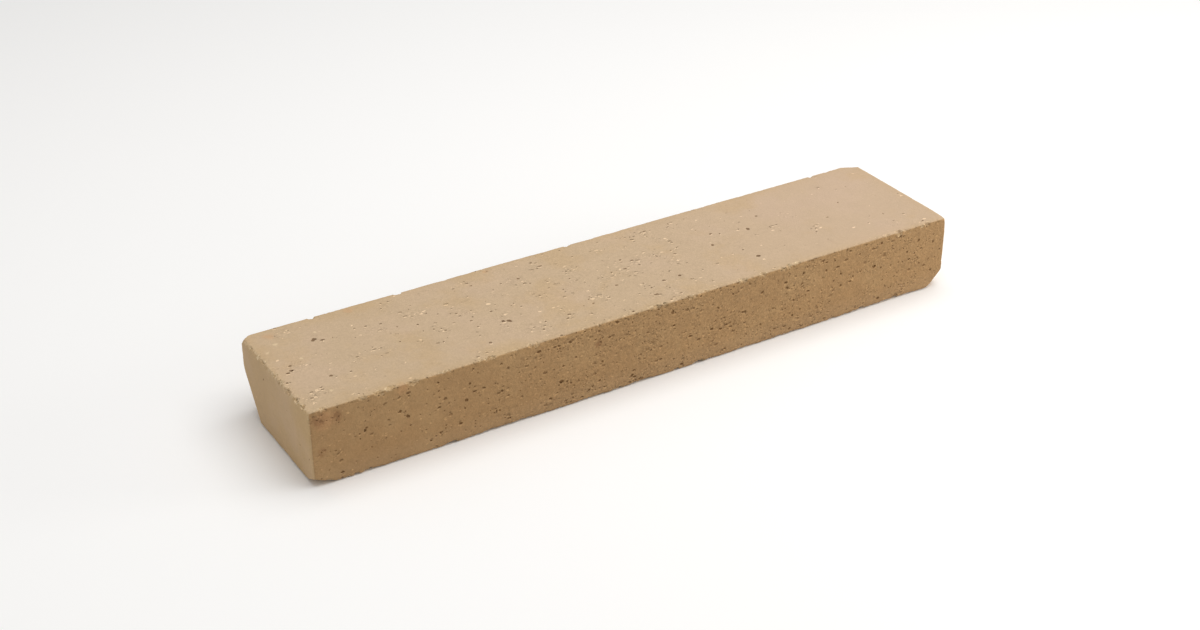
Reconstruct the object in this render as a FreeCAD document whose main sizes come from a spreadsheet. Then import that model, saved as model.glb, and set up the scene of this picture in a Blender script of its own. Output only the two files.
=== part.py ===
import FreeCAD, Part
import os

import Sketcher

# Refractory firebrick: one long bar of pressed and fired clay, lying on its bed.
# Millimetres. X runs along the brick, Y across it from front to back, and Z up.
# The origin is the middle of the underside.

# The pressed block, and the radius that handling has worn along its arrises.
BLOCK = {
    "brick_length": 345.0,
    "brick_width": 75.0,
    "brick_height": 38.0,
    "arris_radius": 1.2,
}

# Corners that have broken off. Each break is a flat facet, given by how far it
# reaches from the corner along the brick's length, width and height.
BROKEN_CORNERS = {
    "front_left_bottom": {"length": 12.0, "width": 9.5, "height": 4.5},
    "front_right_bottom": {"length": 9.5, "width": 8.0, "height": 9.5},
    "back_right_top": {"length": 10.5, "width": 5.0, "height": 5.0},
    "back_left_bottom": {"length": 20.0, "width": 16.0, "height": 24.0},
    "back_left_top": {"length": 4.5, "width": 3.5, "height": 4.0},
}

# Which way each word of a corner's name points.
SIDES = {"left": -1, "right": 1, "front": -1, "back": 1, "bottom": -1, "top": 1}


def fill_sheet(doc):
    """Writes every driving dimension to a spreadsheet cell that has its name as alias."""
    sheet = doc.addObject("Spreadsheet::Sheet", "sizes")
    cells = dict(BLOCK)
    for corner, reaches in BROKEN_CORNERS.items():
        for direction, reach in reaches.items():
            cells[f"{corner}_{direction}"] = reach
    for row, (name, millimetres) in enumerate(cells.items(), start=1):
        sheet.set(f"A{row}", name)
        sheet.set(f"B{row}", str(millimetres))
        sheet.setAlias(f"B{row}", name)
    doc.recompute()
    return sheet


def origin_plane(body, role):
    """One of the body's own origin planes, by its role."""
    return next(item for item in body.Origin.OriginFeatures if item.Role == role)


def draw_bed(body):
    """Sketches the brick's outline on its bed: a rectangle centred on the origin."""
    sketch = body.newObject("Sketcher::SketchObject", "bed_outline")
    sketch.AttachmentSupport = [(origin_plane(body, "XY_Plane"), "")]
    sketch.MapMode = "FlatFace"
    half_length = BLOCK["brick_length"] / 2
    half_width = BLOCK["brick_width"] / 2
    corners = [
        FreeCAD.Vector(-half_length, -half_width, 0),
        FreeCAD.Vector(half_length, -half_width, 0),
        FreeCAD.Vector(half_length, half_width, 0),
        FreeCAD.Vector(-half_length, half_width, 0),
    ]
    front, right, back, left = range(len(corners))
    following = {front: right, right: back, back: left, left: front}
    start, end = 1, 2
    origin = -1
    for side, after in following.items():
        sketch.addGeometry(Part.LineSegment(corners[side], corners[after]), False)
    for side, after in following.items():
        sketch.addConstraint(Sketcher.Constraint("Coincident", side, end, after, start))
    for side in (front, back):
        sketch.addConstraint(Sketcher.Constraint("Horizontal", side))
    for side in (right, left):
        sketch.addConstraint(Sketcher.Constraint("Vertical", side))
    sketch.addConstraint(Sketcher.Constraint("Symmetric", front, start, back, start, origin, start))
    spans = [("DistanceX", front, "brick_length"), ("DistanceY", right, "brick_width")]
    for direction, side, size in spans:
        span = Sketcher.Constraint(direction, side, start, side, end, BLOCK[size])
        sketch.setExpression(f"Constraints[{sketch.addConstraint(span)}]", f"sizes.{size}")
    return sketch


def press_block(doc, body):
    """Pads the bed outline up to the brick's height."""
    block = body.newObject("PartDesign::Pad", "pressed_block")
    block.Profile = draw_bed(body)
    block.setExpression("Length", "sizes.brick_height")
    doc.recompute()
    return block


def wear_arrises(doc, body, block):
    """Rounds all twelve arrises of the block."""
    worn = body.newObject("PartDesign::Fillet", "worn_arrises")
    worn.Base = (block, [f"Edge{number}" for number in range(1, len(block.Shape.Edges) + 1)])
    worn.setExpression("Radius", "sizes.arris_radius")
    doc.recompute()
    return worn


def break_corner(doc, body, corner):
    """Breaks one corner off, with a drum-shaped cutter whose base lies in the facet.

    The facet passes through the three points that the reaches give on the corner's
    edges. The cutter stands on the middle of that triangle and points outwards.
    """
    depth_side, length_side, height_side = (SIDES[word] for word in corner.split("_"))
    length, width, height = (f"sizes.{corner}_{direction}" for direction in BROKEN_CORNERS[corner])
    steepness = f"sqrt(1 / {length} ^ 2 + 1 / {width} ^ 2 + 1 / {height} ^ 2)"
    widest = f"{length} + {width} + {height}"
    bindings = {
        "Placement.Base.x": f"{length_side} * (sizes.brick_length / 2 - {length} / 3)",
        "Placement.Base.y": f"{depth_side} * (sizes.brick_width / 2 - {width} / 3)",
        "Placement.Base.z": (
            f"sizes.brick_height / 2 + {height_side} * (sizes.brick_height / 2 - {height} / 3)"
        ),
        "Placement.Rotation.Axis.x": f"{-depth_side} / {width}",
        "Placement.Rotation.Axis.y": f"{length_side} / {length}",
        "Placement.Rotation.Axis.z": "0",
        "Placement.Rotation.Angle": f"acos({height_side} / {height} / {steepness})",
        "Radius": widest,
        "Height": widest,
    }
    cutter = body.newObject("PartDesign::SubtractiveCylinder", f"broken_{corner}")
    for target, expression in bindings.items():
        cutter.setExpression(target, expression)
    doc.recompute()
    return cutter


def check(doc, body):
    """Stops the build if a feature failed or the brick isn't one valid solid."""
    failed = [item.Name for item in doc.Objects if "Invalid" in item.State or "Error" in item.State]
    if failed:
        raise RuntimeError(f"these features failed: {failed}")
    shape = body.Shape
    if shape.isNull() or not shape.isValid() or len(shape.Solids) != 1:
        raise RuntimeError(f"{body.Label} isn't one valid solid")


def main():
    doc = FreeCAD.newDocument("refractory_firebrick")
    fill_sheet(doc)
    body = doc.addObject("PartDesign::Body", "firebrick")
    body.Label = "firebrick"
    block = press_block(doc, body)
    worn = wear_arrises(doc, body, block)
    volume = worn.Shape.Volume
    for corner in BROKEN_CORNERS:
        cutter = break_corner(doc, body, corner)
        if not cutter.Shape.Volume < volume:
            raise RuntimeError(f"the break at {corner} cuts nothing")
        volume = cutter.Shape.Volume
    check(doc, body)
    os.makedirs("parts", exist_ok=True)
    body.Shape.exportStep(f"parts/{body.Label}.step")
    box = body.Shape.BoundBox
    size = f"{box.XLength:.2f} x {box.YLength:.2f} x {box.ZLength:.2f} mm"
    print(f"{body.Label}: {size}, {volume:.0f} mm3")


main()
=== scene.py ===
"""A refractory firebrick, worn, chipped and pitted, lying on a pale studio floor.

Laid out as an add-on: the panel's properties set the wear and the finish, one operator makes the brick
and one sets the stage. Run as a script, it does both in order.
"""

import itertools
import math

import bmesh
import bpy
import numpy as np
from mathutils import Matrix, Vector


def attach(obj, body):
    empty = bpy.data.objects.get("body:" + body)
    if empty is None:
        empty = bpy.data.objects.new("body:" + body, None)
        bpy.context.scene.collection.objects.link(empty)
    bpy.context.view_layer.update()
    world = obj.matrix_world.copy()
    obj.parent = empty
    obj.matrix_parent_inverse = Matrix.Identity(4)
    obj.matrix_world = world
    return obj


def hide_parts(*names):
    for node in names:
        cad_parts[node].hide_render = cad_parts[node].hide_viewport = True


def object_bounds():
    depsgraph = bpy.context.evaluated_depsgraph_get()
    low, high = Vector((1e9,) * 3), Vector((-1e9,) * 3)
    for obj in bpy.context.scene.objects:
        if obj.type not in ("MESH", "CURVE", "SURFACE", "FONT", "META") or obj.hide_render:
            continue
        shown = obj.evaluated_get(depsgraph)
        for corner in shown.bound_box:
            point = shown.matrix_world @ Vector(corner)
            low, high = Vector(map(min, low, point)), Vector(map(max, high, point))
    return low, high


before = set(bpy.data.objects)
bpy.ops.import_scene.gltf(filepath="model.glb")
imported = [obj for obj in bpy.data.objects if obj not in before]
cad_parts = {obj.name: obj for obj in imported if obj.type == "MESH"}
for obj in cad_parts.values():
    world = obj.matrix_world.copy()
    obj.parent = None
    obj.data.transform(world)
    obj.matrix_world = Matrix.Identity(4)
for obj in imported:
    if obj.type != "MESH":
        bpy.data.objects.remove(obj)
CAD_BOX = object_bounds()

bl_info = {
    "name": "Refractory firebrick",
    "version": (1, 0, 0),
    "blender": (4, 5, 0),
    "location": "View3D > Sidebar > Firebrick",
    "description": "Makes a worn and pitted refractory firebrick and the stage that it lies on",
    "category": "Object",
}

NODE = "firebrick"
BODY = "root"
SLOT = "fired_clay"
PIECE = "worn_firebrick"

MM = 0.001
LOW, HIGH = (np.array(corner) for corner in CAD_BOX)
X, Y, Z = range(3)

# The six faces, as the axis that each looks along and the side that it is on.
LEFT_END, RIGHT_END = (X, -1), (X, 1)
FRONT_SIDE, BACK_SIDE = (Y, -1), (Y, 1)
UNDERSIDE, UPPER_BED = (Z, -1), (Z, 1)

# The deepest pores that show on the upper bed, in millimetres: how far each lies from the left end and
# from the front arris, and its radius.
UPPER_BED_PORES = (
    (27, 55, 1.4), (109, 24, 1.4), (253, 42, 1.2), (229, 37, 1.0), (168, 27, 0.9), (150, 18, 0.9),
    (21, 23, 0.9), (9, 40, 1.0), (8, 36, 1.0), (132, 57, 0.9), (254, 62, 1.0), (241, 16, 1.0), (179, 10, 1.0),
)

# The deepest pores that show on the front side: how far each lies from the left end, its height and radius.
FRONT_SIDE_PORES = (
    (122, 14, 1.0), (182, 32, 1.3), (25, 21, 0.8), (17, 22, 0.8), (28, 12, 0.7), (5, 17, 0.8),
    (300, 23, 1.1), (328, 30, 0.9), (337, 11, 0.8), (142, 28, 0.8), (201, 21, 0.9), (207, 27, 0.8),
    (247, 26, 0.9), (259, 19, 0.8), (240, 13, 0.8), (279, 26, 0.8), (304, 4, 0.9),
)

# The chips that show most: the two faces that meet at the arris, how far along it each chip lies (from the
# left end, or else from the front side), its radius and how deep it goes.
ARRIS_CHIPS = (
    (FRONT_SIDE, UPPER_BED, 7, 2.0, 1.5), (FRONT_SIDE, UPPER_BED, 33, 5.0, 1.4),
    (FRONT_SIDE, UPPER_BED, 49, 3.0, 1.4), (FRONT_SIDE, UPPER_BED, 192, 6.0, 1.4),
    (LEFT_END, UPPER_BED, 64, 1.6, 1.2), (LEFT_END, UPPER_BED, 55, 2.0, 1.4),
    (LEFT_END, UPPER_BED, 48, 2.2, 1.2), (LEFT_END, UPPER_BED, 36, 1.8, 1.3),
    (LEFT_END, UPPER_BED, 30, 2.2, 1.5), (LEFT_END, UPPER_BED, 21, 2.4, 1.8),
    (LEFT_END, UPPER_BED, 13, 1.8, 1.4), (LEFT_END, UPPER_BED, 7, 2.0, 1.4),
    (BACK_SIDE, UPPER_BED, 34, 2.2, 1.7), (BACK_SIDE, UPPER_BED, 77, 4.0, 1.5),
    (FRONT_SIDE, UNDERSIDE, 66, 4.0, 1.8), (FRONT_SIDE, UNDERSIDE, 197, 6.0, 1.6),
)

# How much of the wear each arris has had, where that isn't the usual share.
ARRIS_WEAR = {
    (LEFT_END, UPPER_BED): 0.5, (FRONT_SIDE, UPPER_BED): 0.7, (FRONT_SIDE, UNDERSIDE): 0.6,
    (LEFT_END, FRONT_SIDE): 0.35, (RIGHT_END, FRONT_SIDE): 0.1,
}

# Spots of another colour, in millimetres: how far each lies from the left end, from the front side and up
# from the underside, and its radius.
IRON_SPOTS = ((142, 0, 28, 3.2), (5, 0, 17, 3.0), (5, 0, 33, 5.0), (13, 0, 32, 4.6))
ORANGE_SPOTS = ((51, 71, 38, 3.4), (11, 68, 38, 4.2), (7, 0, 32, 7.0), (122, 71, 38, 2.4), (44, 0, 36, 4.0))
PALE_SPOTS = ((11, 60, 38, 1.7), (5, 55, 38, 1.4), (16, 43, 38, 1.3), (16, 12, 38, 1.3), (30, 61, 38, 1.1))

# Patches where the smooth skin has opened and the grain shows, placed like the spots.
OPEN_PATCHES = (
    (154, 45, 38, 7), (134, 39, 38, 6), (92, 51, 38, 5), (135, 16, 38, 6), (123, 12, 38, 7), (176, 45, 38, 6),
    (10, 38, 38, 7), (18, 12, 38, 5), (24, 19, 38, 5), (51, 50, 38, 5), (60, 52, 38, 4), (47, 28, 38, 4),
    (51, 17, 38, 4), (73, 52, 38, 5), (131, 56, 38, 5), (215, 49, 38, 6), (265, 37, 38, 5), (278, 44, 38, 5),
    (282, 25, 38, 6), (179, 9, 38, 7), (198, 42, 38, 5), (318, 9, 38, 6), (329, 3, 38, 5),
    (4, 0, 34, 5), (12, 0, 31, 5), (33, 0, 34, 5), (46, 0, 30, 6), (123, 0, 36, 6), (160, 0, 29, 9),
    (183, 0, 34, 8), (208, 0, 25, 7), (220, 0, 16, 8), (241, 0, 13, 7), (251, 0, 21, 7), (300, 0, 24, 9),
)


def distance(name, description, millimetres):
    """A length that the user can set, given here in millimetres."""
    return bpy.props.FloatProperty(
        name=name, description=description, default=millimetres * MM, min=0.0, precision=5,
        subtype="DISTANCE", unit="LENGTH",
    )


def share(name, description, default):
    """A share from nothing to all."""
    return bpy.props.FloatProperty(
        name=name, description=description, default=default, min=0.0, max=1.0, subtype="FACTOR",
    )


def count(name, description, default):
    """A whole number of like things."""
    return bpy.props.IntProperty(name=name, description=description, default=default, min=0)


def colour(name, description, default):
    """A colour, in linear red, green and blue."""
    return bpy.props.FloatVectorProperty(
        name=name, description=description, default=default, size=3, min=0.0, max=1.0, subtype="COLOR",
    )


def angle(name, description, degrees):
    """An angle that the user can set, given here in degrees."""
    return bpy.props.FloatProperty(
        name=name, description=description, default=math.radians(degrees), subtype="ANGLE", unit="ROTATION",
    )


def watts(name, description, default):
    """A lamp's power."""
    return bpy.props.FloatProperty(name=name, description=description, default=default, min=0.0, unit="POWER")


class FirebrickShape(bpy.types.PropertyGroup):
    """How the pressed block has worn, chipped and opened into pores."""

    skin_pitch: distance("Skin pitch", "Spacing of the points that carry the wear", 0.35)
    triangle_limit: count("Triangle limit", "Triangles left once the flat stretches are thinned", 190000)
    seed: count("Seed", "Starts the random places of chips and pores", 11)
    arris_width: distance("Arris width", "How far the wear reaches from an arris over its two faces", 1.4)
    arris_wander: distance("Arris wander", "How far the arrises stray from straight in long waves", 0.7)
    arris_crumble: distance("Arris crumble", "How far the arrises have crumbled between the long waves", 1.3)
    arris_grit: distance("Arris grit", "How far single grains have fallen out of the arrises", 1.6)
    usual_wear: share("Usual wear", "How much of that wear most arrises have had", 0.2)
    corner_wear: distance("Corner wear", "How far the corners have worn down", 0.4)
    ochre_reach: distance("Ochre reach", "How far the arrises' yellower clay reaches over the faces", 3.0)
    face_wave: distance("Face wave", "How far the faces dip from flat", 0.18)
    break_roughness: distance("Break roughness", "How rough the broken corners are", 0.8)
    chip_spacing: distance("Chip spacing", "Arris length for each chip, where all of them are met", 1.5)
    chip_group: distance("Chip group", "Arris length over which the chips come in groups", 13.0)
    chip_radius: distance("Chip radius", "Radius of the smallest scattered chips", 1.1)
    chip_radius_most: distance("Largest chip radius", "Radius of the largest scattered chips", 4.0)
    chip_depth: distance("Chip depth", "How deep a scattered chip goes into its arris, at most", 1.9)
    pore_radius: distance("Pore radius", "Radius of the smallest pores that are cut into the skin", 0.42)
    pore_radius_most: distance("Largest pore radius", "Radius of the largest scattered pores", 0.9)
    bed_pores: count("Bed pores", "Pores scattered over each bed", 50)
    side_pores: count("Side pores", "Pores scattered over each long side", 120)
    end_pores: count("End pores", "Pores scattered over each end", 10)


class FirebrickFinish(bpy.types.PropertyGroup):
    """The colours and the grain of the fired clay."""

    bed_colour: colour("Bed colour", "Fired clay of the beds", (0.55, 0.408, 0.266))
    # The long sides' colour is warmer fired skin, and partly painted shade: it is darker than the beds to
    # stand in for the shade on the long sides.
    side_colour: colour("Side colour", "Warmer fired skin of the long sides", (0.388, 0.234, 0.107))
    end_colour: colour("End colour", "Fired clay of the ends", (0.525, 0.366, 0.206))
    break_colour: colour("Break colour", "Raw clay in the broken corners and chips", (0.5, 0.338, 0.178))
    crumb_colour: colour("Crumb colour", "Crumbs along the arrises, and pale grains", (0.77, 0.6, 0.38))
    ochre_colour: colour("Ochre colour", "Yellower clay of the arrises and stains", (0.53, 0.36, 0.18))
    iron_colour: colour("Iron colour", "Rusty spots where the clay holds iron", (0.25, 0.125, 0.055))
    orange_colour: colour("Orange colour", "Lumps of redder clay", (0.60, 0.32, 0.15))
    blush_colour: colour("Blush colour", "Pinkish clouds in the clay", (0.558, 0.41, 0.292))
    # The colour of the painted shade in the dark dots, the pits and the bottoms of the pores.
    painted_shade_colour: colour("Pore colour", "Shade of specks and of pores' bottoms", (0.12, 0.054, 0.014))
    painted_pore_shade: share("Pore shade", "How strongly a pore takes its shade", 0.7)
    roughness: share("Roughness", "Roughness of the dry clay", 0.93)


class FirebrickStage(bpy.types.PropertyGroup):
    """The floor, the lamps and the camera."""

    floor_size: distance("Floor size", "Length of the floor's side", 16000.0)
    floor_colour: colour("Floor colour", "Pale floor", (0.96, 0.96, 0.96))
    sky_colour: colour("Surround colour", "Soft light from all round", (1.0, 1.0, 1.0))
    sky_strength: share("Surround strength", "Brightness of the light from all round", 0.38)
    key_power: watts("Key power", "Power of the large lamp overhead", 15.0)
    fill_power: watts("Fill power", "Power of the lamp at the front right", 1.5)
    rim_power: watts("Rim power", "Power of the lamp at the left", 1.0)
    azimuth: angle("Azimuth", "Camera's bearing round the brick, from straight in front", -31.216)
    elevation: angle("Elevation", "Camera's height above the horizon", 29.669)
    roll: angle("Roll", "Camera's turn about its own line of sight", -0.279)
    reach: distance("Reach", "Distance from the camera to the point it looks at", 892.17)
    aim_x: distance("Aim along", "Point the camera looks at, to the left of the brick's middle", 2.04)
    aim_y: distance("Aim back", "Point the camera looks at, behind the brick's middle", 8.99)
    aim_z: distance("Aim up", "Point the camera looks at, above the floor", 11.67)
    focal_length: bpy.props.FloatProperty(
        name="Focal length", description="Camera's focal length on a 36 mm wide sensor", default=55.5,
        min=1.0, unit="CAMERA",
    )


# Shape

# Numbers that scramble the place of a lattice cell into a random share.
CELL_FACTORS = (73856093, 19349663, 83492791)
SEED_FACTOR = 668265263
SCRAMBLES = ((15, 2246822519), (13, 3266489917))
LAST_SHIFT = 16
LARGEST_WORD = 0xFFFFFFFF

# The clouds and the grit that wear the brick: the size of their lumps, and the seed that starts each.
LONG_WAVES = (26 * MM, 1)
CRUMBLE, FINE_CRUMBLE = (8 * MM, 2), (3.2 * MM, 3)
FACE_DIPS, FINE_DIPS = (60 * MM, 4), (21 * MM, 5)
BREAK_LUMPS, FINE_LUMPS = (9 * MM, 6), (4 * MM, 7)
CHIP_GROUP_SEED = 8
JAGS, FINE_JAGS = (2.6 * MM, 9), (1.1 * MM, 10)
COARSE_GRIT, FINE_GRIT = (2.8 * MM, 20), (1.5 * MM, 30)

# The level of a grain that neither stands proud nor has fallen out.
GRIT_LEVEL = 0.42

# How far from an arris the grit shows.
GRIT_REACH = 4.0 * MM

# How far inside the brick's box a corner lies where it is hardly broken, and where it is wholly broken.
BREAK_DEPTHS = (0.45 * MM, 0.9 * MM)

# How far the wear of a corner reaches, in arris widths.
CORNER_REACH = 2.2

# A chip's greatest depth as a share of its radius, the shares of that depth that chips have, and how far a
# chip turns from either of its two faces, at least.
CHIP_STEEPNESS = 0.7
CHIP_DEPTH_SHARES = (0.5, 1.0)
CHIP_LEAN = 0.2

# The radius from which a pore is large, and how many lobes small and large pores have.
LARGE_PORE = 0.8 * MM
SMALL_PORE_LOBES, LARGE_PORE_LOBES = 2, 4

# A lobe's radius as a share of its pore's, how far its middle rises above the face in its own radii, and how
# much farther the lobes spread along the face than across it.
LOBE_SHARES = (0.45, 0.8)
LOBE_RISES = (0.0, 0.4)
PORE_STRETCH = 1.4

# How deep a chip is raw clay all over, how deep a pore takes all its painted shade, and half the width over
# which the finish of one face passes into the next one's.
RAW_CHIP = 0.6 * MM
DARK_PORE = 0.45 * MM
FACE_BLEND = 0.4 * MM

# Points nearer than the first are one point; no point counts as nearer to a ball's middle than the second.
WELD_GAP = MM / 1000
LEAST_GAP = MM / 100

# The angle past which a fold of the mesh is eased, in how many turns, and how far in each.
FOLD_LIMIT = math.radians(80.0)
FOLD_TURNS = 14
FOLD_EASE = 0.5


def smooth_step(values, start, end):
    """Goes smoothly from 0 at start to 1 at end."""
    part = np.clip((values - start) / (end - start), 0.0, 1.0)
    return part * part * (3.0 - 2.0 * part)


def lot(cells, seed):
    """A random share from 0 to 1 for each cell of a lattice."""
    along, across, up = (cells[:, axis] * factor for axis, factor in enumerate(CELL_FACTORS))
    mixed = along ^ across ^ up ^ (seed * SEED_FACTOR)
    for shift, factor in SCRAMBLES:
        mixed = (mixed ^ (mixed >> shift)) * factor & LARGEST_WORD
    return (mixed ^ (mixed >> LAST_SHIFT)) / LARGEST_WORD


def cloud(points, wavelength, seed):
    """Smooth random values from -1 to 1 that change over about one wavelength."""
    spread = points / wavelength
    cell = np.floor(spread).astype(np.int64)
    part = smooth_step(spread - cell, 0.0, 1.0)
    total = np.zeros(len(points))
    for corner in itertools.product((0, 1), repeat=3):
        weight = np.prod(np.where(corner, part, 1.0 - part), axis=1)
        total += weight * (2.0 * lot(cell + corner, seed) - 1.0)
    return total


def grit(points, spacing, seed):
    """Angular grains that fill the clay: how far each point lies below the proudest grain, from 0 to 1."""
    spread = points / spacing
    cell = np.floor(spread).astype(np.int64)
    nearest = np.full(len(points), np.inf)
    level = np.zeros(len(points))
    for neighbour in itertools.product((-1, 0, 1), repeat=3):
        key = cell + neighbour
        middle = key + np.stack([lot(key, seed + axis) for axis in (X, Y, Z)], axis=1)
        gap = np.linalg.norm(spread - middle, axis=1)
        closer = gap < nearest
        nearest[closer] = gap[closer]
        level[closer] = lot(key[closer], seed + 3)
    return 0.65 * level + 0.35 * np.minimum(nearest, 1.0)


def even_skin(pitch):
    """The brick's CAD surface as an even net of points, in a mesh of its own."""
    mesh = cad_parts[NODE].data.copy()
    welded = bmesh.new()
    welded.from_mesh(mesh)
    bmesh.ops.remove_doubles(welded, verts=welded.verts, dist=WELD_GAP)
    welded.to_mesh(mesh)
    welded.free()
    mesh.materials.clear()
    return modified(mesh, "REMESH", mode="VOXEL", voxel_size=pitch)


def modified(mesh, kind, **settings):
    """The mesh as one modifier leaves it."""
    carrier = bpy.data.objects.new("carrier", mesh)
    bpy.context.scene.collection.objects.link(carrier)
    modifier = carrier.modifiers.new(kind.lower(), kind)
    for name, value in settings.items():
        setattr(modifier, name, value)
    evaluated = carrier.evaluated_get(bpy.context.evaluated_depsgraph_get())
    result = bpy.data.meshes.new_from_object(evaluated)
    bpy.data.objects.remove(carrier)
    bpy.data.meshes.remove(mesh)
    return result


def read(mesh, name):
    """A vector of each of the mesh's points, as an array."""
    values = np.empty(len(mesh.vertices) * 3, np.float32)
    mesh.vertices.foreach_get(name, values)
    return values.reshape(-1, 3).astype(float)


def take_bites(points, centres, radii, unevenness):
    """Pushes every point inside a ball out to the ball's surface, and returns how far each was pushed."""
    order = np.argsort(points[:, X])
    along = points[order, X]
    pushed = np.zeros(len(points))
    for centre, radius in zip(centres, radii):
        reach = 2.0 * radius
        first, last = np.searchsorted(along, (centre[X] - reach, centre[X] + reach))
        near = order[first:last]
        offset = points[near] - centre
        gap = np.linalg.norm(offset, axis=1)
        push = radius + unevenness[near] - gap
        inside = push > 0.0
        bitten = near[inside]
        points[bitten] += offset[inside] * (push[inside] / np.maximum(gap[inside], LEAST_GAP))[:, None]
        pushed[bitten] = np.maximum(pushed[bitten], push[inside])
    return pushed


def skewed_radii(random, number, smallest, largest):
    """Radii between two limits, most of them near the smaller one."""
    steepness = 2.2
    tail = (smallest / largest) ** steepness
    return smallest * (1.0 - random.random(number) * (1.0 - tail)) ** (-1.0 / steepness)


def arris_wear(points, shape):
    """How much of the wear each point has had, from the arrises that it lies near."""
    depths = {
        (axis, side): HIGH[axis] - points[:, axis] if side > 0 else points[:, axis] - LOW[axis]
        for axis, side in itertools.product((X, Y, Z), (-1, 1))
    }
    total, weights = np.zeros(len(points)), np.full(len(points), np.finfo(float).tiny)
    for first, second in itertools.combinations(depths, 2):
        if first[0] != second[0]:
            weight = np.exp(-(depths[first] + depths[second]) / shape.arris_width)
            total += weight * ARRIS_WEAR.get((first, second), shape.usual_wear)
            weights += weight
    return total / weights


def chips_at(random, faces, places, sizes, depths):
    """Balls for chips at these places along the arris where two faces meet."""
    (across, side_across), (over, side_over) = faces
    axis = X + Y + Z - across - over
    lean = random.uniform(CHIP_LEAN, math.pi / 2 - CHIP_LEAN, len(places))
    centres = np.zeros((len(places), 3))
    centres[:, axis] = LOW[axis] + places
    reach = sizes - depths
    centres[:, across] = (HIGH if side_across > 0 else LOW)[across] + side_across * reach * np.cos(lean)
    centres[:, over] = (HIGH if side_over > 0 else LOW)[over] + side_over * reach * np.sin(lean)
    return centres, sizes


def chip_balls(random, shape):
    """Balls that chip all twelve arrises, as centres and radii."""
    found = []
    for first, second in itertools.combinations((X, Y, Z), 2):
        length = (HIGH - LOW)[X + Y + Z - first - second]
        number = round(length / shape.chip_spacing)
        for sides in itertools.product((-1, 1), repeat=2):
            places = random.random(number) * length
            sizes = skewed_radii(random, number, shape.chip_radius, shape.chip_radius_most)
            deepest = np.minimum(shape.chip_depth, CHIP_STEEPNESS * sizes)
            depths = deepest * random.uniform(*CHIP_DEPTH_SHARES, number)
            faces = tuple(zip((first, second), sides))
            centres, sizes = chips_at(random, faces, places, sizes, depths)
            grouped = smooth_step(cloud(centres, shape.chip_group, CHIP_GROUP_SEED), -0.1, 0.4)
            met = random.random(number) < grouped * ARRIS_WEAR.get(faces, shape.usual_wear)
            found.append((centres[met], sizes[met]))
    for *faces, place, size, depth in ARRIS_CHIPS:
        marks = (np.array([millimetres]) * MM for millimetres in (place, size, depth))
        found.append(chips_at(random, faces, *marks))
    centres, radii = zip(*found)
    return np.concatenate(centres), np.concatenate(radii)


def flat_axes(face):
    """The two axes that lie in a face."""
    return [axis for axis in (X, Y, Z) if axis != face[0]]


def pores_at(random, face, places, sizes):
    """Balls for pores at these places on one face, each pore a cluster of lobes."""
    axis, side = face
    first, second = flat_axes(face)
    level = (HIGH if side > 0 else LOW)[axis]
    balls = []
    for place, size in zip(places, sizes):
        lobes = LARGE_PORE_LOBES if size > LARGE_PORE else SMALL_PORE_LOBES
        for _ in range(lobes):
            radius = size * random.uniform(*LOBE_SHARES)
            bearing = random.uniform(0.0, 2.0 * math.pi)
            centre = np.zeros(3)
            centre[first] = place[0] + (size - radius) * math.cos(bearing) * PORE_STRETCH
            centre[second] = place[1] + (size - radius) * math.sin(bearing)
            centre[axis] = level + side * radius * random.uniform(*LOBE_RISES)
            balls.append((centre, radius))
    return balls


def pore_balls(random, shape):
    """Balls that cut the pores into all six faces, as centres and radii."""
    numbers = {
        UPPER_BED: shape.bed_pores, UNDERSIDE: shape.bed_pores,
        FRONT_SIDE: shape.side_pores, BACK_SIDE: shape.side_pores,
        LEFT_END: shape.end_pores, RIGHT_END: shape.end_pores,
    }
    balls = []
    for face, number in numbers.items():
        flat = flat_axes(face)
        places = LOW[flat] + random.random((number, 2)) * (HIGH[flat] - LOW[flat])
        sizes = skewed_radii(random, number, shape.pore_radius, shape.pore_radius_most)
        balls += pores_at(random, face, places, sizes)
    for face, marks in {UPPER_BED: UPPER_BED_PORES, FRONT_SIDE: FRONT_SIDE_PORES}.items():
        marks = np.array(marks) * MM
        balls += pores_at(random, face, LOW[flat_axes(face)] + marks[:, :2], marks[:, 2])
    centres, radii = zip(*balls)
    return np.array(centres), np.array(radii)


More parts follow.
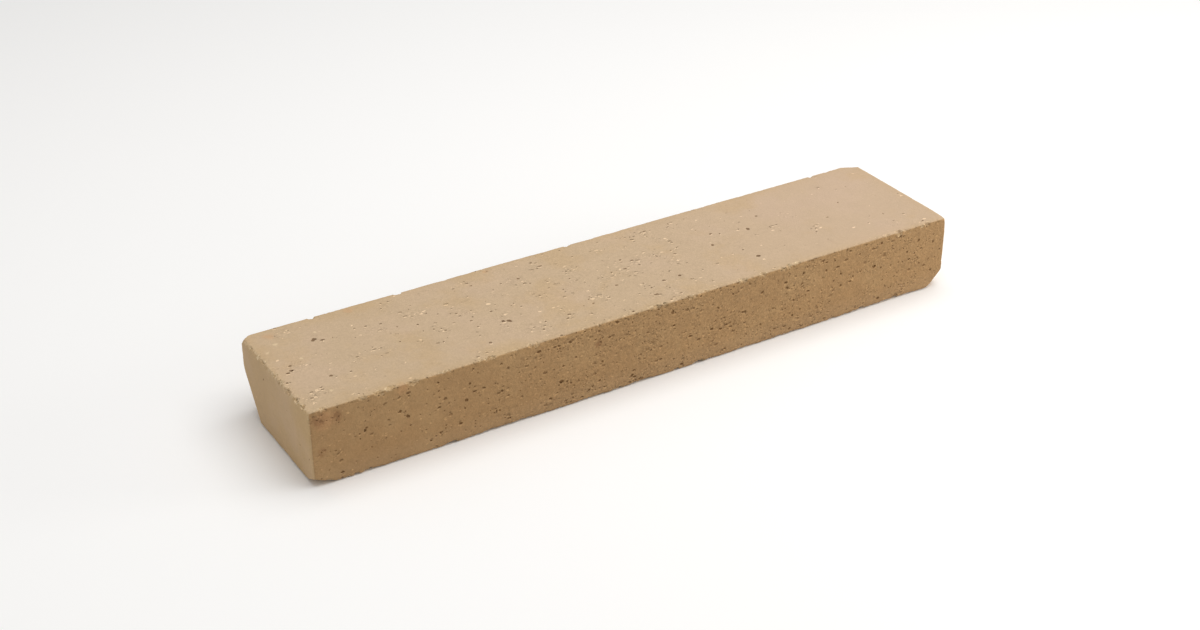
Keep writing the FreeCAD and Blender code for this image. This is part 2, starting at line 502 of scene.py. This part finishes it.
def wear(points, normals, shape):
    """Wears, chips and pits the brick's points, and returns what the finish has to know of each."""
    random = np.random.default_rng(shape.seed)
    inset = np.sort(np.minimum(points - LOW, HIGH - points), axis=1)
    to_face, to_arris, to_corner = inset.T
    broken = smooth_step(to_face, *BREAK_DEPTHS)
    arris = np.exp(-((to_arris / shape.arris_width) ** 2)) * (1.0 - broken)
    corner = np.exp(-((to_corner / (CORNER_REACH * shape.arris_width)) ** 2)) * (1.0 - broken)

    arris *= arris_wear(points, shape)
    waves = smooth_step(cloud(points, *LONG_WAVES), -0.3, 0.8)
    crumble = (
        0.5 * smooth_step(cloud(points, *CRUMBLE), 0.15, 0.55)
        + 0.5 * smooth_step(cloud(points, *FINE_CRUMBLE), 0.2, 0.55)
    )
    dip = 0.5 + 0.35 * cloud(points, *FACE_DIPS) + 0.15 * cloud(points, *FINE_DIPS)
    rough = 0.5 + 0.3 * cloud(points, *BREAK_LUMPS) + 0.2 * cloud(points, *FINE_LUMPS)
    facets = np.full(len(points), GRIT_LEVEL)
    gritty = (to_arris < GRIT_REACH) | (broken > 0.05)
    facets[gritty] = 0.6 * grit(points[gritty], *COARSE_GRIT) + 0.4 * grit(points[gritty], *FINE_GRIT)
    loose = np.maximum(facets - GRIT_LEVEL, 0.0)
    inward = arris * (waves * shape.arris_wander + crumble * shape.arris_crumble + loose * shape.arris_grit)
    inward += broken * (0.4 * rough + 1.6 * loose) * shape.break_roughness + corner * shape.corner_wear
    inward += (1.0 - arris) * (1.0 - broken) * dip * shape.face_wave
    points -= normals * inward[:, None]

    jagged = (0.45 * cloud(points, *JAGS) + 0.3 * cloud(points, *FINE_JAGS)) * MM
    chip_edges = 0.4 * jagged + (facets - GRIT_LEVEL) * 2.2 * MM
    chipped = take_bites(points, *chip_balls(random, shape), chip_edges)
    pored = take_bites(points, *pore_balls(random, shape), 0.6 * jagged)
    np.clip(points, LOW, HIGH, out=points)
    to_end, to_side, to_bed = np.minimum(points - LOW, HIGH - points).T
    opened = np.zeros(len(points))
    for *place, radius in OPEN_PATCHES:
        gap = np.linalg.norm(points - LOW - np.array(place) * MM, axis=1) / (radius * MM)
        opened = np.maximum(opened, smooth_step(gap, 1.0, 0.2))
    return {
        "long_side": smooth_step(np.minimum(to_end, to_bed) - to_side, -FACE_BLEND, FACE_BLEND),
        "end_face": smooth_step(np.minimum(to_side, to_bed) - to_end, -FACE_BLEND, FACE_BLEND),
        "worn_arris": arris,
        "near_arris": np.exp(-to_arris / shape.ochre_reach) * (1.0 - broken),
        "fresh_break": np.maximum(broken, np.minimum(chipped / RAW_CHIP, 1.0)),
        "pore_depth": np.minimum(pored / DARK_PORE, 1.0),
        "open_skin": opened,
    }


def ease_folds(mesh):
    """Draws the points of every edge that folds too sharply towards their neighbours."""
    net = bmesh.new()
    net.from_mesh(mesh)
    for _ in range(FOLD_TURNS):
        net.normal_update()
        folds = [edge for edge in net.edges if edge.calc_face_angle(0.0) > FOLD_LIMIT]
        points = list({point for edge in folds for point in edge.verts})
        bmesh.ops.smooth_vert(
            net, verts=points, factor=FOLD_EASE, use_axis_x=True, use_axis_y=True, use_axis_z=True,
        )
    net.to_mesh(mesh)
    net.free()


def brick_mesh(shape):
    """The worn brick as one closed mesh, thinned where it is flat."""
    mesh = even_skin(shape.skin_pitch)
    points, normals = read(mesh, "co"), read(mesh, "normal")
    marks = wear(points, normals, shape)
    mesh.vertices.foreach_set("co", points.astype(np.float32).ravel())
    mesh.update()
    for name, values in marks.items():
        layer = mesh.attributes.new(name, "FLOAT", "POINT")
        layer.data.foreach_set("value", values.astype(np.float32))
    triangles = len(mesh.loops) - 2 * len(mesh.polygons)
    mesh = modified(mesh, "DECIMATE", ratio=min(1.0, shape.triangle_limit / triangles))
    ease_folds(mesh)
    mesh.shade_smooth()
    mesh.name = PIECE
    return mesh


# Finish

# Lengths in the finish are in millimetres, and its places are measured from the middle of the underside.

# The spacing of the sand, the grog and the voids, and how much longer than wide the grog is.
SAND, GROG, VOIDS = 0.6, 1.4, 2.0
GROG_STRETCH = (1.7, 1.0, 1.0)

# The dark dots of grog and the pits: their largest radius in spacings, and how softly they end.
DOTS = {"size": 0.62, "softness": 0.2}
PITS = {"size": 0.42, "softness": 0.12}

# How far the stains, the skin and the pale flakes are moved off, so that they don't follow other patterns.
STAIN_SHIFT = (0.0, 0.0, 70.0)
SKIN_SHIFT = (50.0, 0.0, 0.0)
FLAKE_SHIFT = (0.0, 90.0, 0.0)

# How much light the dry clay throws back as gloss, and the most that the painted shade of a speck or pore
# darkens it.
CLAY_GLOSS = 0.25
DARKEST_PAINTED_SHADE = 0.85


class Wire:
    """A shader socket that takes part in Python expressions, and the bench that new nodes come from."""

    def __init__(self, tree, socket=None):
        self.tree = tree
        self.socket = socket

    def node(self, kind, settings=None, sockets=None, output=0):
        """Adds a node, sets it up, feeds its sockets and returns one of its outputs, if it has any."""
        made = self.tree.nodes.new("ShaderNode" + kind)
        for name, value in (settings or {}).items():
            setattr(made, name, value)
        for name, value in (sockets or {}).items():
            if isinstance(name, int):
                target = made.inputs[name]
            else:
                target = next(one for one in made.inputs if one.name == name and one.enabled)
            if isinstance(value, Wire):
                self.tree.links.new(value.socket, target)
            else:
                target.default_value = value
        if not made.outputs:
            return None
        if isinstance(output, int):
            return Wire(self.tree, made.outputs[output])
        return Wire(self.tree, next(one for one in made.outputs if one.name == output and one.enabled))

    def output(self, name):
        """Another output of the node that this one belongs to."""
        return Wire(self.tree, self.socket.node.outputs[name])

    def math(self, operation, *values):
        return self.node("Math", {"operation": operation}, dict(enumerate(values)))

    def __add__(self, other):
        return self.math("ADD", self, other)

    def __radd__(self, other):
        return self.math("ADD", other, self)

    def __sub__(self, other):
        return self.math("SUBTRACT", self, other)

    def __rsub__(self, other):
        return self.math("SUBTRACT", other, self)

    def __mul__(self, other):
        return self.math("MULTIPLY", self, other)

    def __rmul__(self, other):
        return self.math("MULTIPLY", other, self)

    def at_most(self, other):
        return self.math("MINIMUM", self, other)

    def step(self, start, end):
        """Goes smoothly from 0 at start to 1 at end; start may lie above end."""
        sockets = {"Value": self, "From Min": start, "From Max": end}
        return self.node("MapRange", {"interpolation_type": "SMOOTHSTEP"}, sockets)

    def mixed(self, one, other, factor):
        """One colour blended into another by a factor."""
        return self.node("Mix", {"data_type": "RGBA"}, {"Factor": factor, "A": one, "B": other}, "Result")

    def washed(self, *washes):
        """This colour under washes of others, each with the factor that it covers by."""
        tone = self
        for wash, factor in washes:
            tone = tone.mixed(tone, rgba(wash), factor)
        return tone

    def shifted(self, other):
        """This vector with another added to it."""
        return self.node("VectorMath", {"operation": "ADD"}, {0: self, 1: other}, "Vector")

    def stretched(self, lengths):
        """This place on a grid that is longer by these lengths."""
        shares = tuple(1.0 / length for length in lengths)
        return self.node("VectorMath", {"operation": "MULTIPLY"}, {0: self, 1: shares}, "Vector")

    def scaled(self, factor):
        """This colour or vector, longer by a factor."""
        return self.node("VectorMath", {"operation": "SCALE"}, {"Vector": self, "Scale": factor}, "Vector")


def rgba(colour_property):
    """A colour property as a socket takes it."""
    return (*colour_property, 1.0)


def noise(place, wavelength, detail=2.0, harshness=0.55):
    """A cloud over the brick that changes over about this many millimetres, from 0 to 1."""
    sockets = {"Vector": place, "Scale": 1.0 / wavelength, "Detail": detail, "Roughness": harshness}
    return place.node("TexNoise", None, sockets, "Fac")


def strayed(place, wavelength, reach):
    """A place that strays up to this far, so that outlines drawn by it come out ragged."""
    tint = noise(place, wavelength, detail=4.0, harshness=0.6).output("Color")
    return place.shifted(tint.shifted((-0.5, -0.5, -0.5)).scaled(2.0 * reach))


class Grains:
    """Grains of about one spacing, each with random shares of its own."""

    def __init__(self, place, spacing):
        sockets = {"Vector": place, "Scale": 1.0 / spacing, "Randomness": 1.0}
        self.gap = place.node("TexVoronoi", {"feature": "F1"}, sockets, "Distance")
        self.pick = place.node("SeparateColor", None, {"Color": self.gap.output("Color")}, "Red")
        self.size = self.pick.output("Green")
        self.shade = self.pick.output("Blue") * 2.0 - 1.0

    def chosen(self, share):
        """A share of the grains, whole."""
        return (share - self.pick).step(0.0, 0.01)

    def blots(self, share, size, softness):
        """Blots in a share of the grains, up to a size in spacings, from 0 outside to 1 within."""
        reach = size * (0.35 + 0.65 * self.size * self.size)
        return self.chosen(share) * (reach - self.gap).step(0.0, softness)


def spots(place, marks):
    """Round spots at these marks, fading out from their middles."""
    total = 0.0
    for along, back, up, radius in marks:
        middle = np.array((along, back, up)) + (LOW / MM)
        gap = place.node("VectorMath", {"operation": "DISTANCE"}, {0: place, 1: tuple(middle)}, "Value")
        total = total + gap.step(radius, 0.25 * radius)
    return total.at_most(1.0)


class FiredClay:
    """Buff fired clay: clouds and stains, fine sand, dents with painted shade and a painted highlight on each
    lower lip, pale flecks, and pores with painted shade.
    """

    def __init__(self, finish):
        self.finish = finish
        self.material = bpy.data.materials.new(SLOT)
        self.material.use_nodes = True
        self.material.node_tree.nodes.clear()
        self.bench = Wire(self.material.node_tree)
        self.read_marks()
        self.spread_clouds()
        self.sort_grains()
        self.open_skin()
        self.scatter_specks()
        shader = self.bench.node("BsdfPrincipled", None, {
            "Base Color": self.tone(), "Roughness": finish.roughness, "Specular IOR Level": CLAY_GLOSS,
            "Normal": self.bump(),
        }, "BSDF")
        self.bench.node("OutputMaterial", None, {"Surface": shader})

    def mark(self, name):
        """What the wear has left on the mesh under this name."""
        return self.bench.node("Attribute", {"attribute_name": name}, None, "Fac")

    def by_face(self, bed, side):
        """A value that the long sides have otherwise than the beds and the ends."""
        return bed + (side - bed) * self.side

    def read_marks(self):
        """Where each place lies, and what the wear has left there."""
        self.place = self.bench.node("TexCoord", None, None, "Object").scaled(1.0 / MM)
        self.along, self.across, self.up = (
            self.bench.node("SeparateXYZ", None, {"Vector": self.place}, axis) for axis in "XYZ"
        )
        self.side, self.end = self.mark("long_side"), self.mark("end_face")
        self.arris, self.edge = self.mark("worn_arris"), self.mark("near_arris")
        self.fresh, self.pore = self.mark("fresh_break"), self.mark("pore_depth")

    def spread_clouds(self):
        """Clouds and stains, the fine relief, and places that stray to make outlines ragged."""
        self.ragged = strayed(self.place, wavelength=1.6, reach=0.8)
        self.blotted = strayed(self.ragged, wavelength=5.0, reach=2.5)
        self.clouds = noise(self.place, wavelength=30.0, detail=3.0)
        self.drift = noise(self.place, wavelength=9.0, detail=4.0)
        stain = noise(self.place.shifted(STAIN_SHIFT), wavelength=26.0, detail=4.0, harshness=0.6)
        self.stain = stain - 0.06 * self.along.step(20.0, 150.0)
        self.relief = noise(self.place, wavelength=1.8, detail=6.0, harshness=0.68)
        self.fray = self.relief - 0.5

    def sort_grains(self):
        """Sand, grog and voids, the same a little farther on for the painted highlight on each lower lip, and
        flakes.
        """
        # The grains again, a little farther back and up, so that a painted highlight falls on the front or
        # lower lip of each dot and pit.
        lean = {"X": 0.2, "Y": 0.85 * (1.0 - self.side), "Z": 0.8 * self.side}
        highlight_shift = self.bench.node("CombineXYZ", None, lean)
        drawn = self.ragged.stretched(GROG_STRETCH)
        self.sand = Grains(self.ragged, SAND)
        self.grog, self.grog_lip_highlights = Grains(drawn, GROG), Grains(drawn.shifted(highlight_shift), GROG)
        self.voids, self.void_lip_highlights = Grains(self.ragged, VOIDS), Grains(self.ragged.shifted(highlight_shift), VOIDS)
        self.flakes = Grains(drawn.shifted(FLAKE_SHIFT), GROG)

    def open_skin(self):
        """How hollow, crumbled, coarse, open and rough the skin is."""
        off_end = 1.0 - self.end
        # The bottoms of the pores, which take a painted shade.
        self.hollow = (self.pore + self.fray * 1.2).step(0.25, 0.5) * self.pore.step(0.02, 0.2)
        self.crumbled = (self.fresh + self.fray * 1.5).step(0.3, 0.6)
        bed = 0.52 + 0.28 * self.along.step(-110.0, -40.0) - 0.95 * self.along.step(30.0, 110.0)
        side = 0.46 + 0.74 * self.along.step(-130.0, -30.0) - 0.25 * self.along.step(60.0, 130.0)
        self.coarse = (bed * (1.0 - self.side) + side * self.side) * off_end + 0.6 * self.crumbled
        skin = noise(self.place.shifted(SKIN_SHIFT), wavelength=10.0, detail=4.0, harshness=0.6)
        opened = (skin - 0.62 + 0.14 * self.coarse).step(0.0, 0.14) * off_end
        self.opened = (opened + 0.8 * self.mark("open_skin")).at_most(1.0)
        grain = 0.2 + 0.2 * self.coarse + 0.3 * self.side * self.coarse
        self.rough = (grain + 0.3 * self.opened + 0.4 * self.arris).at_most(1.0)

    def scatter_specks(self):
        """Dots and pits painted dark as shade, a painted highlight on each one's lower lip, and pale flecks,
        most where the skin has opened.
        """
        self.rusty = spots(self.blotted, IRON_SPOTS)
        dotted = 0.012 + 0.26 * self.side * self.coarse + self.opened * self.by_face(0.44, 0.56)
        dotted = dotted + 0.6 * self.rusty
        pitted = (0.008 + 0.05 * self.coarse) * (1.0 - 0.8 * self.end)
        self.dots, self.pits = self.grog.blots(dotted, **DOTS), self.voids.blots(pitted, **PITS)
        # Painted highlights on the front or lower lip of each dot and pit.
        self.painted_lip_highlights = self.grog_lip_highlights.blots(dotted, **DOTS) + self.void_lip_highlights.blots(pitted, **PITS)
        flecked = 0.02 + self.side * (0.07 * self.coarse + 0.05 * self.along.step(-40.0, -150.0))
        flecked = flecked + self.opened * self.by_face(0.3, 0.4) + 0.2 * self.rusty
        self.flecks = self.flakes.blots(flecked, size=self.by_face(0.66, 0.56), softness=0.2)

    def crumbs(self):
        """Pale crumbs round the breaks and along the upper arris of the left end."""
        rim = self.fresh.step(0.0, 0.2) * (1.0 - self.crumbled)
        left_top = self.along.step(-150.0, -170.0) * self.up.step(30.0, 36.0) * (1.0 - self.side)
        crumbly = rim + self.crumbled * 0.4 + self.edge * self.edge * self.edge * left_top
        grains = self.sand.chosen(0.3) + self.grog.chosen(0.3)
        return crumbly.at_most(1.0) * grains * self.by_face(0.6, 0.3)

    def brightness(self):
        """How bright the clay is: clouds, grain, pale flecks and painted lip highlights, less a painted shade
        near the left end of the long sides.
        """
        shades = self.sand.shade * 0.14 + self.grog.shade * 0.05 + self.fray * 0.6
        # Pale flecks, and the painted highlights on the lower lip of each dot and pit.
        pale = (self.painted_lip_highlights * 0.85 + self.flecks).at_most(1.0) * self.by_face(0.52, 0.35)
        # Painted shade: the long sides darker towards the left end.
        painted_left_shade = 0.05 * self.side * self.along.step(-60.0, -160.0)
        return 0.92 + 0.08 * self.clouds + 0.08 * self.drift + shades * self.rough + pale - painted_left_shade

    def painted_pit_shade(self):
        """The painted shade in the dots, the pits and the pores."""
        strength = (1.0 + 0.55 * self.grog.shade) * self.by_face(0.5, 0.66)
        return self.dots * strength + self.pits * 0.65 + self.hollow * self.finish.painted_pore_shade

    def tone(self):
        """The clay's colour: each face's own (the long sides' partly painted shade), stained, shaded, strewn
        with crumbs and specks, with painted bounce light at the foot of the long sides and painted shade in
        the specks and pores.
        """
        finish, end, off_side = self.finish, self.end, 1.0 - self.side
        # Painted bounce light from the floor: the long sides are paler towards their foot.
        painted_bounce_light = 0.12 * self.side * self.up.step(12.0, 2.0)
        blushing = 0.35 * self.clouds.step(0.42, 0.68) + 0.55 * self.along.step(-20.0, 160.0)
        stained = self.stain.step(0.46, 0.66) * self.by_face(0.3, 0.15) * (1.0 - end)
        # Each face's own colour; the long sides' darker colour is partly painted shade.
        ground = self.bench.mixed(rgba(finish.bed_colour), rgba(finish.side_colour), self.side).washed(
            (finish.bed_colour, painted_bounce_light),
            (finish.end_colour, end),
            (finish.ochre_colour, end * 0.6 * self.across.step(10.0, -30.0)),
            (finish.break_colour, self.crumbled * 0.7),
            (finish.blush_colour, blushing * off_side),
            (finish.ochre_colour, stained),
            (finish.orange_colour, spots(self.blotted, ORANGE_SPOTS) * 0.35),
            (finish.crumb_colour, spots(self.ragged, PALE_SPOTS) * 0.6),
            (finish.ochre_colour, self.edge * 0.45 * off_side),
        )
        return ground.scaled(self.brightness()).washed(
            (finish.crumb_colour, self.crumbs()),
            (finish.iron_colour, self.rusty * (0.35 + 0.3 * self.grog.chosen(0.5))),
            # Painted shade in the dots, the pits and the pores.
            (finish.painted_shade_colour, self.painted_pit_shade().at_most(DARKEST_PAINTED_SHADE)),
        )

    def bump(self):
        """The relief that is too fine for the mesh, in millimetres."""
        grain = (self.relief * 0.7 + self.sand.shade * 0.03) * self.rough
        height = grain - (self.dots + self.pits) * 0.4 + self.flecks * 0.15
        return self.bench.node("Bump", None, {"Strength": 1.0, "Distance": MM, "Height": height}, "Normal")


# Stage

# The lamps, in metres: where each hangs, the point that it looks at, the length of its side, and its tint.
LAMPS = {
    "key": ((0.28, -0.1, 1.3), (0.0, 0.0, 0.02), 1.4, (1.0, 0.985, 0.96)),
    "fill": ((0.62, -0.34, 0.16), (0.10, 0.0, 0.02), 0.3, (1.0, 0.97, 0.92)),
    "rim": ((-1.2, 0.25, 0.55), (0.0, 0.0, 0.02), 0.8, (1.0, 0.97, 0.92)),
}

FLOOR_ROUGHNESS, FLOOR_GLOSS = 0.9, 0.1

# Width of the camera's sensor, in millimetres.
SENSOR_WIDTH = 36.0


def pale_floor(stage):
    """A wide pale floor at the height of the brick's underside."""
    half = stage.floor_size / 2
    mesh = bpy.data.meshes.new("floor")
    corners = [(-half, -half, 0.0), (half, -half, 0.0), (half, half, 0.0), (-half, half, 0.0)]
    mesh.from_pydata(corners, [], [(0, 1, 2, 3)])
    material = bpy.data.materials.new("floor_paint")
    material.use_nodes = True
    paint = material.node_tree.nodes["Principled BSDF"]
    paint.inputs["Base Color"].default_value = rgba(stage.floor_colour)
    paint.inputs["Roughness"].default_value = FLOOR_ROUGHNESS
    paint.inputs["Specular IOR Level"].default_value = FLOOR_GLOSS
    mesh.materials.append(material)
    floor = bpy.data.objects.new("floor", mesh)
    bpy.context.scene.collection.objects.link(floor)


def surround(stage):
    """Even light from all round."""
    world = bpy.data.worlds.new("surround")
    world.use_nodes = True
    background = world.node_tree.nodes["Background"]
    background.inputs["Color"].default_value = rgba(stage.sky_colour)
    background.inputs["Strength"].default_value = stage.sky_strength
    bpy.context.scene.world = world


def lamp(name, place, aim, size, tint, power):
    """A square soft lamp that looks at a point."""
    light = bpy.data.lights.new(name, "AREA")
    light.shape = "SQUARE"
    light.size = size
    light.energy = power
    light.color = tint
    holder = bpy.data.objects.new(name, light)
    holder.location = place
    holder.rotation_euler = (Vector(aim) - Vector(place)).to_track_quat("-Z", "Y").to_euler()
    bpy.context.scene.collection.objects.link(holder)


def portrait_camera(stage):
    """The camera, at the angle that the brick is portrayed from."""
    flat = math.cos(stage.elevation)
    back = Vector((
        math.sin(stage.azimuth) * flat, -math.cos(stage.azimuth) * flat, math.sin(stage.elevation),
    ))
    aim = Vector((-stage.aim_x, stage.aim_y, stage.aim_z))
    data = bpy.data.cameras.new("portrait")
    data.sensor_width = SENSOR_WIDTH
    data.lens = stage.focal_length
    camera = bpy.data.objects.new("portrait", data)
    turn = (-back).to_track_quat("-Z", "Y").to_matrix().to_4x4()
    spin = Matrix.Rotation(stage.roll, 4, "Z")
    camera.matrix_world = Matrix.Translation(aim + back * stage.reach) @ turn @ spin
    bpy.context.scene.collection.objects.link(camera)
    bpy.context.scene.camera = camera


# Add-on


class FIREBRICK_OT_make_brick(bpy.types.Operator):
    """Makes the worn brick over its CAD solid and gives it its finish"""

    bl_idname = "firebrick.make_brick"
    bl_label = "Make the brick"

    def execute(self, context):
        mesh = brick_mesh(context.scene.firebrick_shape)
        mesh.materials.append(FiredClay(context.scene.firebrick_finish).material)
        brick = bpy.data.objects.new(PIECE, mesh)
        context.scene.collection.objects.link(brick)
        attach(brick, BODY)
        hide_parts(NODE)
        return {"FINISHED"}


class FIREBRICK_OT_set_stage(bpy.types.Operator):
    """Lays the floor, hangs the lamps and places the camera"""

    bl_idname = "firebrick.set_stage"
    bl_label = "Set the stage"

    def execute(self, context):
        stage = context.scene.firebrick_stage
        pale_floor(stage)
        surround(stage)
        powers = {"key": stage.key_power, "fill": stage.fill_power, "rim": stage.rim_power}
        for name, settings in LAMPS.items():
            lamp(name, *settings, powers[name])
        portrait_camera(stage)
        context.scene.view_settings.view_transform = "Standard"
        return {"FINISHED"}


class FIREBRICK_PT_sidebar(bpy.types.Panel):
    """The brick's properties, and the buttons that make it"""

    bl_idname = "FIREBRICK_PT_sidebar"
    bl_label = "Firebrick"
    bl_space_type = "VIEW_3D"
    bl_region_type = "UI"
    bl_category = "Firebrick"

    def draw(self, context):
        groups = {
            FIREBRICK_OT_make_brick: (context.scene.firebrick_shape, context.scene.firebrick_finish),
            FIREBRICK_OT_set_stage: (context.scene.firebrick_stage,),
        }
        for operator, holders in groups.items():
            box = self.layout.box()
            for holder in holders:
                for name in holder.__annotations__:
                    box.prop(holder, name)
            box.operator(operator.bl_idname)


GROUPS = {
    "firebrick_shape": FirebrickShape,
    "firebrick_finish": FirebrickFinish,
    "firebrick_stage": FirebrickStage,
}
CLASSES = (*GROUPS.values(), FIREBRICK_OT_make_brick, FIREBRICK_OT_set_stage, FIREBRICK_PT_sidebar)


def register():
    for one in CLASSES:
        bpy.utils.register_class(one)
    for name, group in GROUPS.items():
        setattr(bpy.types.Scene, name, bpy.props.PointerProperty(type=group))


def unregister():
    for name in GROUPS:
        delattr(bpy.types.Scene, name)
    for one in reversed(CLASSES):
        bpy.utils.unregister_class(one)


def main():
    register()
    bpy.ops.firebrick.make_brick()
    bpy.ops.firebrick.set_stage()


if __name__ == "__main__":
    main()
